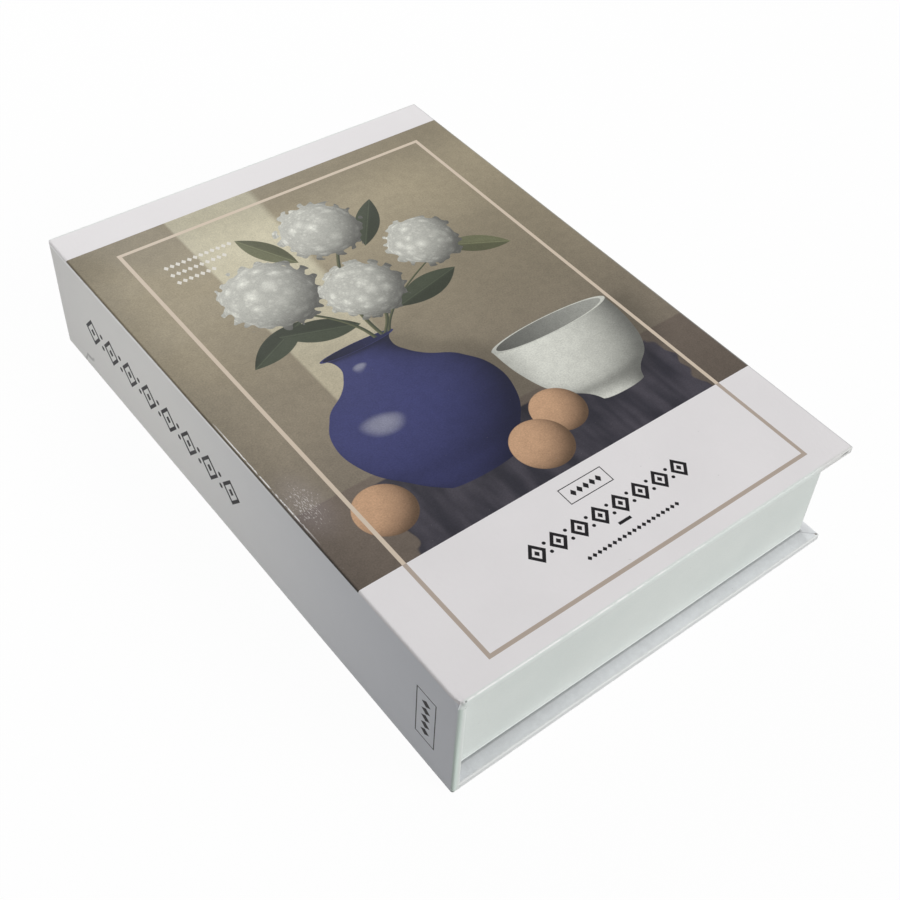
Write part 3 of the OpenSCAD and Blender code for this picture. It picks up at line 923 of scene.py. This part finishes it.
def gummed_tape():
    """Brown kraft tape, ribbed along its length."""
    material, graph, shader = new_material("gummed_tape")
    place = object_place(graph)
    ribs = graph.add("TexWave", graph.stretched(place, (1.0, 1.0, 0.02)), 0.9, 0.6, 2.0, 1.5,
                     bands_direction="DIAGONAL")
    fibre = graph.noise(graph.stretched(place, (2.0, 2.0, 0.4)), 1.6, 5.0, 0.65)
    base = graph.mix(graph.rise(fibre, 0.3, 0.7), colour(158, 122, 78), colour(190, 154, 106))
    base = graph.shade(base, graph.rise(ribs, 0.0, 1.0, 0.93, 1.03))
    finish_shader(graph, shader, base, graph.rise(fibre, 0.3, 0.7, 0.55, 0.75), ribs, TAPE_RELIEF)
    return material


def nickel():
    """Nickel plate with fine scratches."""
    material, graph, shader = new_material("nickel_plate")
    shader.inputs["Metallic"].default_value = 1.0
    place = object_place(graph)
    scratch = graph.noise(graph.stretched(place, (0.3, 4.0, 1.0)), 2.5, 4.0, 0.7)
    base = graph.mix(graph.rise(scratch, 0.3, 0.7), colour(188, 188, 190), colour(214, 213, 212))
    finish_shader(graph, shader, base, graph.rise(scratch, 0.3, 0.7, 0.18, 0.34), scratch, PLATE_RELIEF)
    return material


def dress(piece, material, slot, *nodes):
    """Gives a piece its material and hides the CAD nodes that it stands for. Its slot is not used."""
    piece.data.materials.clear()
    piece.data.materials.append(material)
    if nodes:
        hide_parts(*nodes)


# Pieces of paper

CLOSE_STEPS = [0.9 * MM + 1 * MM * i * (1 + 0.25 * i) for i in range(5)]


def near(*edges):
    """Places that close up towards edges. Each edge comes with the side on which they lie."""
    return [edge + side * step for edge, side in edges for step in CLOSE_STEPS]


# Where papers are cut across, so that they can give there
EVEN_CUTS = [y * MM for y in range(-110, 111, 10)]
LENGTH_CUTS = near((tail_y, 1), (head_y, -1)) + EVEN_CUTS
WIDTH_CUTS = [x * MM for x in range(-70, 71, 10)]
STRIP_CUTS = [y * MM for y in range(-105, 106, 15)]
SPINE_HEIGHTS = [z * MM for z in (8, 14, 20, 26, 32, 38, 42, 44.5)]
TRAY_HEIGHTS = [z * MM for z in (6, 12, 20, 28, 36, 42)]
SPINE_EDGE_CUTS = [spine_x + x * MM for x in (0.9, 1.2, 1.5, 1.9)]

# Closer places where the ends of the joint are rounded off
END_CUTS = [side * (head_y - 0.3 * MM * i) for side in (-1, 1) for i in range(2, 9)]

# Waves in the papers: how far apart, and how high
COVER_WAVES = (0.03, 0.09 * MM)
TRAY_WAVES = (0.04, 0.08 * MM)
SHEET_WAVES = (0.05, 0.05 * MM)

# The knocked tip of the joint: how far it is crumpled, pressed in and wrinkled
TIP_REACH = 7 * MM
TIP_DENT = 0.35 * MM
TIP_WRINKLE = 0.16 * MM
TIP_ROUND = (2.4 * MM, 4.6 * MM)
TIP_CUTS = [tail_y + 0.5 * MM * i for i in range(6, 16)]

# The mitred seams: their width, and the length and slant of the gap at the corner
MITRE_W = 0.12 * MM
MITRE_GAPE = 2.2 * MM
MITRE_LEAN = math.radians(22)
MITRE_ROOM = 8 * MM
CUT_EXACT = 0.001 * MM


def fade(distance, reach):
    """1 at no distance, and smoothly down to 0 at the reach."""
    share = min(max(1 - distance / reach, 0), 1)
    return share * share * (3 - 2 * share)


def round_ends(piece):
    """Rounds the upright spine edges at head and tail, more from the foot up, most at the knocked tip."""
    for vertex in piece.data.vertices:
        point = vertex.co
        side = math.copysign(1, point.y)
        knocked = fade(top_z - point.z, top_z - spine_top) if side < 0 else 0
        radius = SPINE_FOOT_R + (SPINE_END_R - SPINE_FOOT_R) * fade(spine_top - point.z, FOOT_RUN)
        wide = radius + (TIP_ROUND[0] - radius) * knocked
        long = radius + (TIP_ROUND[1] - radius) * knocked
        heart = Vector((spine_x + wide, side * (head_y - long)))
        offset = Vector(((point.x - heart.x) / wide, (point.y - heart.y) / long))
        if offset.x < 0 < offset.y * side and offset.length > 1:
            offset.normalize()
            point.x, point.y = heart.x + offset.x * wide, heart.y + offset.y * long


def crumple_tip(piece):
    """Bumps in the tail end of the hollow joint, where the box has been knocked, and wrinkles it."""
    tip = Vector((spine_x, tail_y, top_z))
    inward = Vector((0.5, 0.8, -0.4)).normalized()
    for vertex in piece.data.vertices:
        point = vertex.co
        hollow = (1 - fade(lid_x - point.x, 1.2 * MM)) * (1 - fade(point.z - spine_top, 1.6 * MM))
        share = fade((point - tip).length, TIP_REACH) * hollow
        wrinkle = noise.noise_vector(point / (0.9 * MM))
        point += (inward * TIP_DENT + wrinkle * TIP_WRINKLE) * share


def ripple(piece, size, height):
    """Faint waves that glue leaves in paper on board."""
    texture = bpy.data.textures.get("glue_waves") or bpy.data.textures.new("glue_waves", "CLOUDS")
    texture.noise_scale = size
    texture.noise_depth = 1
    apply_modifier(piece, "DISPLACE", texture=texture, texture_coords="LOCAL", strength=height,
                   mid_level=0.5)


def cut_mitre(level, side):
    """Opens a mitred seam in a face of turned-in paper, thin along the face and gaping at the corner."""
    inner = Vector((fore_x - TURN_IN, side * (head_y - TURN_IN), level))
    along = Vector((1, side, 0)).normalized()
    across = Vector((-along.y, along.x, 0))
    start = inner + along * (TURN_IN * math.sqrt(2) - MITRE_GAPE)

    def on_face(face):
        past = middle(face) - inner
        return lies_at(face, Z, level) and min(past.x, past.y * side) > -MITRE_ROOM

    def gaping(face):
        return on_face(face) and (middle(face) - start).dot(along) > 0

    def in_seam(face):
        offset = middle(face) - start
        gape = max(offset.dot(along), 0) * math.tan(MITRE_LEAN)
        return on_face(face) and abs(offset.dot(across)) < MITRE_W / 2 + gape

    pick("faces", on_face)
    bpy.ops.mesh.bisect(plane_co=start, plane_no=along, threshold=CUT_EXACT)
    for lean in (-1, 1):
        lip = across * lean * MITRE_W / 2
        slanted = across * math.cos(MITRE_LEAN) - along * lean * math.sin(MITRE_LEAN)
        pick("faces", lambda f: on_face(f) and not gaping(f))
        bpy.ops.mesh.bisect(plane_co=inner + lip, plane_no=across, threshold=CUT_EXACT)
        pick("faces", gaping)
        bpy.ops.mesh.bisect(plane_co=start + lip, plane_no=slanted, threshold=CUT_EXACT)
    delete_faces(in_seam)


def cut_mitres(level):
    for side in (-1, 1):
        cut_mitre(level, side)


def under_turn_in(face, level):
    """True for the part of a cover's inner face that no turned-in paper covers."""
    place = middle(face)
    return lies_at(face, Z, level) and place.x < fore_x - TURN_IN and abs(place.y) < head_y - TURN_IN


def front_cover_paper():
    """Paper round the front board, open towards the hinge, turned in underneath."""
    piece = new_block("front_cover_paper", lid_low, lid_high)

    def on_cover_edge(edge):
        flat = lies_at(edge, Z, top_z) or lies_at(edge, Z, lid_z)
        return flat and not lies_at(edge, X, lid_x)

    with at_work(piece):
        bevel_edges(lambda e: upright(e) and lies_at(e, X, fore_x), CORNER_R)
        bevel_edges(on_cover_edge, EDGE_R)
        delete_faces(lambda f: lies_at(f, X, lid_x))
        slice_at(X, WIDTH_CUTS + near((lid_x, 1), (fore_x, -1)) + [fore_x - TURN_IN])
        slice_at(Y, LENGTH_CUTS)
        delete_faces(lambda f: under_turn_in(f, lid_z))
        cut_mitres(lid_z)
    ripple(piece, *COVER_WAVES)
    give_thickness(piece, PAPER_T)
    smooth(piece)
    return piece


def fold_sheet(name):
    """A sheet that runs up from the spine, round the fold and on to the front cover."""
    bpy.ops.object.select_all(action="DESELECT")
    straight = hinge.z - spine_top
    bpy.ops.mesh.primitive_plane_add(size=1, location=(spine_x, 0, spine_top + straight / 2),
                                     rotation=(0, -math.pi / 2, 0))
    piece = bpy.context.object
    piece.name = piece.data.name = name
    piece.scale = (straight, head_y - tail_y, 1)
    bpy.ops.object.transform_apply(location=True, rotation=True, scale=True)
    with at_work(piece):
        pick("edges", lambda e: lies_at(e, Z, hinge.z))
        bpy.ops.mesh.spin(steps=8, angle=-math.pi / 2, center=hinge, axis=(0, 1, 0))
        pick("edges", lambda e: lies_at(e, Z, top_z))
        draw_out(lid_x - hinge.x, 0, 0)
    return piece


def tuck_ends():
    """Draws the open ends of the fold together at head and tail, and rounds the edges there."""
    def on_rim(edge, end):
        if not lies_at(edge, Y, end) or len(edge.link_faces) != 2:
            return False
        first, second = edge.link_faces
        return abs(first.normal.y - second.normal.y) > 0.5

    for end in (tail_y, head_y):
        pick("edges", lambda e: lies_at(e, Y, end))
        draw_out(0, 0, 0)
        heart = Vector((lid_x, end, spine_top + PAPER_T))
        bpy.ops.transform.resize(value=(0.05, 1, 0.05), center_override=heart)
        bevel_edges(lambda e: on_rim(e, end), EDGE_R)


def hinge_fold():
    """Cover paper that folds from the spine to the front cover, with its ends tucked in."""
    piece = fold_sheet("hinge_fold")
    with at_work(piece):
        tuck_ends()
        slice_at(Y, LENGTH_CUTS + END_CUTS + TIP_CUTS)
        slice_at(X, [lid_x - 0.5 * MM, lid_x - 1.0 * MM])
        slice_at(Z, [spine_top + 0.8 * MM, spine_top + 1.7 * MM])
        bpy.ops.mesh.select_all(action="SELECT")
        bpy.ops.mesh.normals_make_consistent(inside=False)
    flip_if_inside(piece, Vector((-1, 0, 0)))
    round_ends(piece)
    ripple(piece, *COVER_WAVES)
    crumple_tip(piece)
    give_thickness(piece, PAPER_T)
    smooth(piece, 50)
    keep_places(piece)
    return piece


def flip_if_inside(piece, outward):
    """Turns a sheet over if its face that should look outward looks the other way."""
    face = max(piece.data.polygons, key=lambda f: abs(f.normal.dot(outward)) * f.area)
    if face.normal.dot(outward) < 0:
        with at_work(piece):
            bpy.ops.mesh.select_all(action="SELECT")
            bpy.ops.mesh.flip_normals()


def on_case_edge(edge):
    """True for the sharp outer edges of the back cover and the spine, which the paper rounds off."""
    at_end = lies_at(edge, Y, tail_y) or lies_at(edge, Y, head_y)
    if lies_at(edge, Z, spine_top) or lies_at(edge, X, spine_in) and not at_end:
        return False
    sharp = len(edge.link_faces) > 1 and edge.calc_face_angle(0) > math.radians(60)
    return sharp and edge.is_convex


def case_paper():
    """One sheet round the back cover and up the spine, turned in at head, tail and fore edge."""
    piece = new_block("case_paper", case_low, (fore_x, head_y, cover_t))
    with at_work(piece):
        slice_at(X, [spine_in])
        pick("faces", lambda f: lies_at(f, Z, cover_t) and middle(f).x < spine_in)
        draw_out(0, 0, spine_top - cover_t)
        bevel_edges(lambda e: upright(e) and lies_at(e, X, fore_x), CORNER_R)
        bevel_edges(lambda e: upright(e) and lies_at(e, X, spine_x), SPINE_FOOT_R, 6)
        bevel_edges(on_case_edge, EDGE_R)
        delete_faces(lambda f: lies_at(f, Z, spine_top))
        slice_at(X, WIDTH_CUTS + near((fore_x, -1)) + [fore_x - TURN_IN])
        slice_at(X, SPINE_EDGE_CUTS)
        slice_at(Y, LENGTH_CUTS + END_CUTS)
        slice_at(Z, SPINE_HEIGHTS)
        delete_faces(lambda f: under_turn_in(f, cover_t))
        delete_faces(lambda f: lies_at(f, X, spine_in) and abs(middle(f).y) < head_y - TURN_IN)
        cut_mitres(cover_t)
    round_ends(piece)
    ripple(piece, *COVER_WAVES)
    give_thickness(piece, PAPER_T)
    smooth(piece)
    return piece


def tray_paper():
    """White paper: under the tray, up the outside, over the rim and the rail, and down inside."""
    play = Vector((FLOOR_PAPER_PLAY, FLOOR_PAPER_PLAY, 0))
    well_low, well_high = floor_low - play, floor_high + play
    rim, foot = tray_high.z, tray_low.z

    def over_well(face):
        place = middle(face)
        return well_low.x < place.x < well_high.x and well_low.y < place.y < well_high.y

    def past_turn_under(face):
        place = middle(face)
        beside = tray_low.x + TURN_UNDER < place.x < tray_high.x - TURN_UNDER
        return lies_at(face, Z, foot) and beside and abs(place.y) < tray_high.y - TURN_UNDER

    piece = new_block("tray_paper", tray_low, tray_high)
    with at_work(piece):
        bevel_edges(upright, TRAY_CORNER_R)
        for axis in (X, Y):
            slice_at(axis, [well_low[axis], well_high[axis]])
        pick("faces", lambda f: lies_at(f, Z, rim) and over_well(f))
        draw_out(0, 0, floor_low.z - rim)
        delete_faces(lambda f: lies_at(f, Z, floor_low.z))
        for level in (rim, foot):
            bevel_edges(lambda e: lies_at(e, Z, level) and e.calc_face_angle(0) > 1, RIM_R, 3)
        slice_at(X, WIDTH_CUTS)
        slice_at(Y, EVEN_CUTS)
        slice_at(Z, TRAY_HEIGHTS)
        delete_faces(past_turn_under)
    ripple(piece, *TRAY_WAVES)
    give_thickness(piece, TRAY_PAPER_T)
    smooth(piece)
    return piece


def pasted_sheet(name, low, high):
    """A sheet pasted flat, with cut edges and faint waves."""
    piece = new_block(name, low, high)
    with at_work(piece):
        bevel_edges(upright, SHEET_CORNER_R, 2)
        slice_at(X, WIDTH_CUTS)
        slice_at(Y, EVEN_CUTS)
    ripple(piece, *SHEET_WAVES)
    smooth(piece)
    return piece


def strip_along_hinge(name, points, ends):
    """A sheet with a straight-sided outline in the XZ plane, drawn out along the hinge."""
    bpy.ops.object.select_all(action="DESELECT")
    bpy.ops.mesh.primitive_plane_add(size=1)
    piece = bpy.context.object
    piece.name = piece.data.name = name
    with at_work(piece):
        bpy.ops.mesh.delete(type="VERT")
        shape = bmesh.from_edit_mesh(piece.data)
        rail = [shape.verts.new((x, ends[0], z)) for x, z in points]
        for first, second in zip(rail, rail[1:]):
            shape.edges.new((first, second))
        bmesh.update_edit_mesh(piece.data)
        bpy.ops.mesh.select_all(action="SELECT")
        draw_out(0, ends[1] - ends[0], 0)
        slice_at(Y, STRIP_CUTS)
    return piece


def between(first, last, count=5):
    """Points on a straight line between two points, without its ends."""
    first, last = Vector(first), Vector(last)
    return [tuple(first.lerp(last, step / count)) for step in range(1, count)]


def pleat_ridge(near_x, far_x):
    """Points round the ridge of the pleat, halfway between the spine and the edge of the lid."""
    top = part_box("inner_joint")[1].z - TAPE_T / 2
    heart = Vector(((near_x + far_x) / 2, top - PLEAT_R))
    turns = [math.radians(turn) for turn in range(18, 163, 12)]
    return [heart + PLEAT_R * Vector((math.cos(turn), math.sin(turn))) for turn in turns]


def across_joint(name, ends, lid_run, spine_run):
    """A sheet across the joint on the inside: a pleat that bends, and the part held by the spine.

    The runs are the rest of its way, on the inside of the lid and on the inside of the spine."""
    half = TAPE_T / 2
    near_x, far_x = spine_x + PAPER_T + half, lid_x - half
    lid_edge, spine_edge = (far_x, lid_z + half), (near_x, spine_top + half)
    ridge = pleat_ridge(near_x, far_x)
    rise = [lid_edge, *between(lid_edge, ridge[0]), *ridge]
    fall = [*between(ridge[-1], spine_edge), spine_edge]
    pleat = strip_along_hinge(name + "_pleat", lid_run + rise + fall, ends)
    held = strip_along_hinge(name + "_held", [spine_edge, *spine_run], ends)
    for piece in (pleat, held):
        apply_modifier(piece, "SOLIDIFY", thickness=TAPE_T, offset=0)
        smooth(piece, 40)
        keep_places(piece)
    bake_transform(pleat)
    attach(held, "case")
    return pleat, held


def hinge_tape():
    """Tape inside the joint, from the inside of the lid to the inside of the spine."""
    low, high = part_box("inner_joint")
    half = TAPE_T / 2
    lid_run = [(high.x, lid_z + half), ((high.x + lid_x) / 2, lid_z + half)]
    spine_run = [(spine_in + half, spine_top + half), (spine_in + half, low.z)]
    return across_joint("hinge_tape", (low.y, high.y), lid_run, spine_run)


def joint_turn_ins():
    """Case paper turned in over the joint. It shows past the ends of the tape when the lid is open."""
    reach = head_y - TIP_CLEAR
    spine_run = [(spine_in - TAPE_T / 2, spine_top + TAPE_T / 2)]
    tail_end, head_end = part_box("inner_joint")[0].y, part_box("inner_joint")[1].y
    return (*across_joint("turn_in_at_tail", (-reach, tail_end), [], spine_run),
            *across_joint("turn_in_at_head", (head_end, reach), [], spine_run))


# Room and camera

SKY_LIGHT = 0.18
FLOOR_PALE = 0.82
FLOOR_BOUNCE = 0.12
FLOOR_WHITE = 0.97
FLOOR_W = 12
FLOOR_CLEAR = 0.2 * MM

# Lamps: place, what it is aimed at, size and power
LAMPS = [("window_at_tail", (0.87, -1.75, 1.24), (0, 0, 0.03), 1.3, 35.0),
         ("window_at_head", (0.25, 0.90, 0.60), (0, 0.05, 0.03), 0.5, 6.2),
         ("lamp_at_spine", (-0.305, 0.07, 0.03), (-0.085, 0.07, 0.025), 0.1, 0.2),
         ("fill_at_tail", (-0.60, -1.50, 0.70), (0, 0, 0.03), 0.8, 4.3)]


def seen_straight(graph):
    """1 for rays that see the surround straight, in a mirror or through glass."""
    outputs = graph.add("LightPath").node.outputs
    return graph.most(outputs["Is Camera Ray"], outputs["Is Glossy Ray"], outputs["Is Transmission Ray"])


def pale_floor():
    """Floor that looks white and holds the shadow, and gives back little light to the sides of the box."""
    bpy.ops.object.select_all(action="DESELECT")
    bpy.ops.mesh.primitive_plane_add(size=FLOOR_W, location=(0, 0, base_z - FLOOR_CLEAR))
    floor = bpy.context.object
    floor.name = "floor"
    material, graph, shader = new_material("pale_floor")
    seen = seen_straight(graph)
    tone = graph.rise(seen, 0.0, 1.0, FLOOR_BOUNCE, FLOOR_PALE)
    graph.feed(shader.inputs["Base Color"], graph.add("CombineXYZ", tone, tone, tone))
    shader.inputs["Roughness"].default_value = 0.9
    white = graph.add("Emission", (1, 1, 1, 1), 1.0)
    both = graph.add("MixShader", graph.times(seen, FLOOR_WHITE), shader.outputs[0], white)
    graph.feed(material.node_tree.nodes["Material Output"].inputs[0], both)
    floor.data.materials.append(material)


def sky():
    """Even light from all round, seen as white."""
    world = bpy.data.worlds.new("studio")
    bpy.context.scene.world = world
    world.use_nodes = True
    graph = Graph(world.node_tree)
    background = world.node_tree.nodes["Background"]
    graph.feed(background.inputs["Color"], (1, 1, 1, 1))
    graph.feed(background.inputs["Strength"], graph.rise(seen_straight(graph), 0, 1, SKY_LIGHT, 1.0))


def lamps():
    for name, place, aim, size, power in LAMPS:
        data = bpy.data.lights.new(name, "AREA")
        data.shape = "DISK"
        data.size = size
        data.energy = power
        lamp = bpy.data.objects.new(name, data)
        bpy.context.scene.collection.objects.link(lamp)
        lamp.visible_camera = False
        lamp.location = place
        lamp.rotation_euler = (Vector(place) - Vector(aim)).to_track_quat("Z", "Y").to_euler()


def camera():
    data = bpy.data.cameras.new("camera")
    data.sensor_width = SENSOR_W
    data.lens = LENS
    data.shift_x, data.shift_y = LENS_SHIFT
    data.clip_start, data.clip_end = 0.01, 100
    eye = bpy.data.objects.new("camera", data)
    bpy.context.scene.collection.objects.link(eye)
    eye.location = CAMERA_PLACE
    eye.rotation_euler = Euler([math.radians(turn) for turn in CAMERA_TURN])
    bpy.context.scene.camera = eye


# Putting it together

BOARDS = ["back_board", "spine_board", "front_board", "tray_floor", "tray_head_wall", "tray_tail_wall",
          "tray_spine_wall", "tray_fore_wall", "rail_wall", "rail_cap"]

print_tree = print_group()
case_finish = printed_paper("laminated_print", print_tree, bends=False)
fold_finish = printed_paper("laminated_print_fold", print_tree, bends=True)
tray_finish = plain_paper("tray_paper", colour(224, 229, 225), colour(218, 224, 220), 0.62, foot=tray_low.z)
lining_finish = plain_paper("lining_paper", colour(236, 236, 232), colour(228, 229, 225), 0.7)

cover = front_cover_paper()
dress(cover, case_finish, "printed_paper", "front_wrap")
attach(cover, "lid")

case = case_paper()
dress(case, case_finish, "printed_paper", "back_wrap", "spine_wrap")
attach(case, "case")

fold = hinge_fold()
dress(fold, fold_finish, "printed_paper", "outer_joint")
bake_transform(fold)

tray = tray_paper()
dress(tray, tray_finish, "tray_paper", "tray_wrap")
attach(tray, "case")

tray_bed = pasted_sheet("tray_floor_paper", floor_low, floor_high)
dress(tray_bed, tray_finish, "tray_paper", "tray_liner")
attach(tray_bed, "case")

lining = pasted_sheet("lid_lining", lining_low, lining_high)
dress(lining, lining_finish, "liner_paper", "front_liner")
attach(lining, "lid")

for piece in hinge_tape():
    dress(piece, lining_finish, "liner_paper", "inner_joint")
for piece in joint_turn_ins():
    dress(piece, fold_finish, "printed_paper")

board_finish, tape_finish, magnet_finish = greyboard(), gummed_tape(), nickel()
for node in BOARDS:
    dress(frame["nodes"][node], board_finish, "greyboard")
dress(frame["nodes"]["corner_stays"], tape_finish, "gummed_tape")
for node in ("tray_magnets", "lid_magnets"):
    dress(frame["nodes"][node], magnet_finish, "magnet")

pale_floor()
sky()
lamps()
camera()
bpy.context.scene.view_settings.view_transform = "Standard"
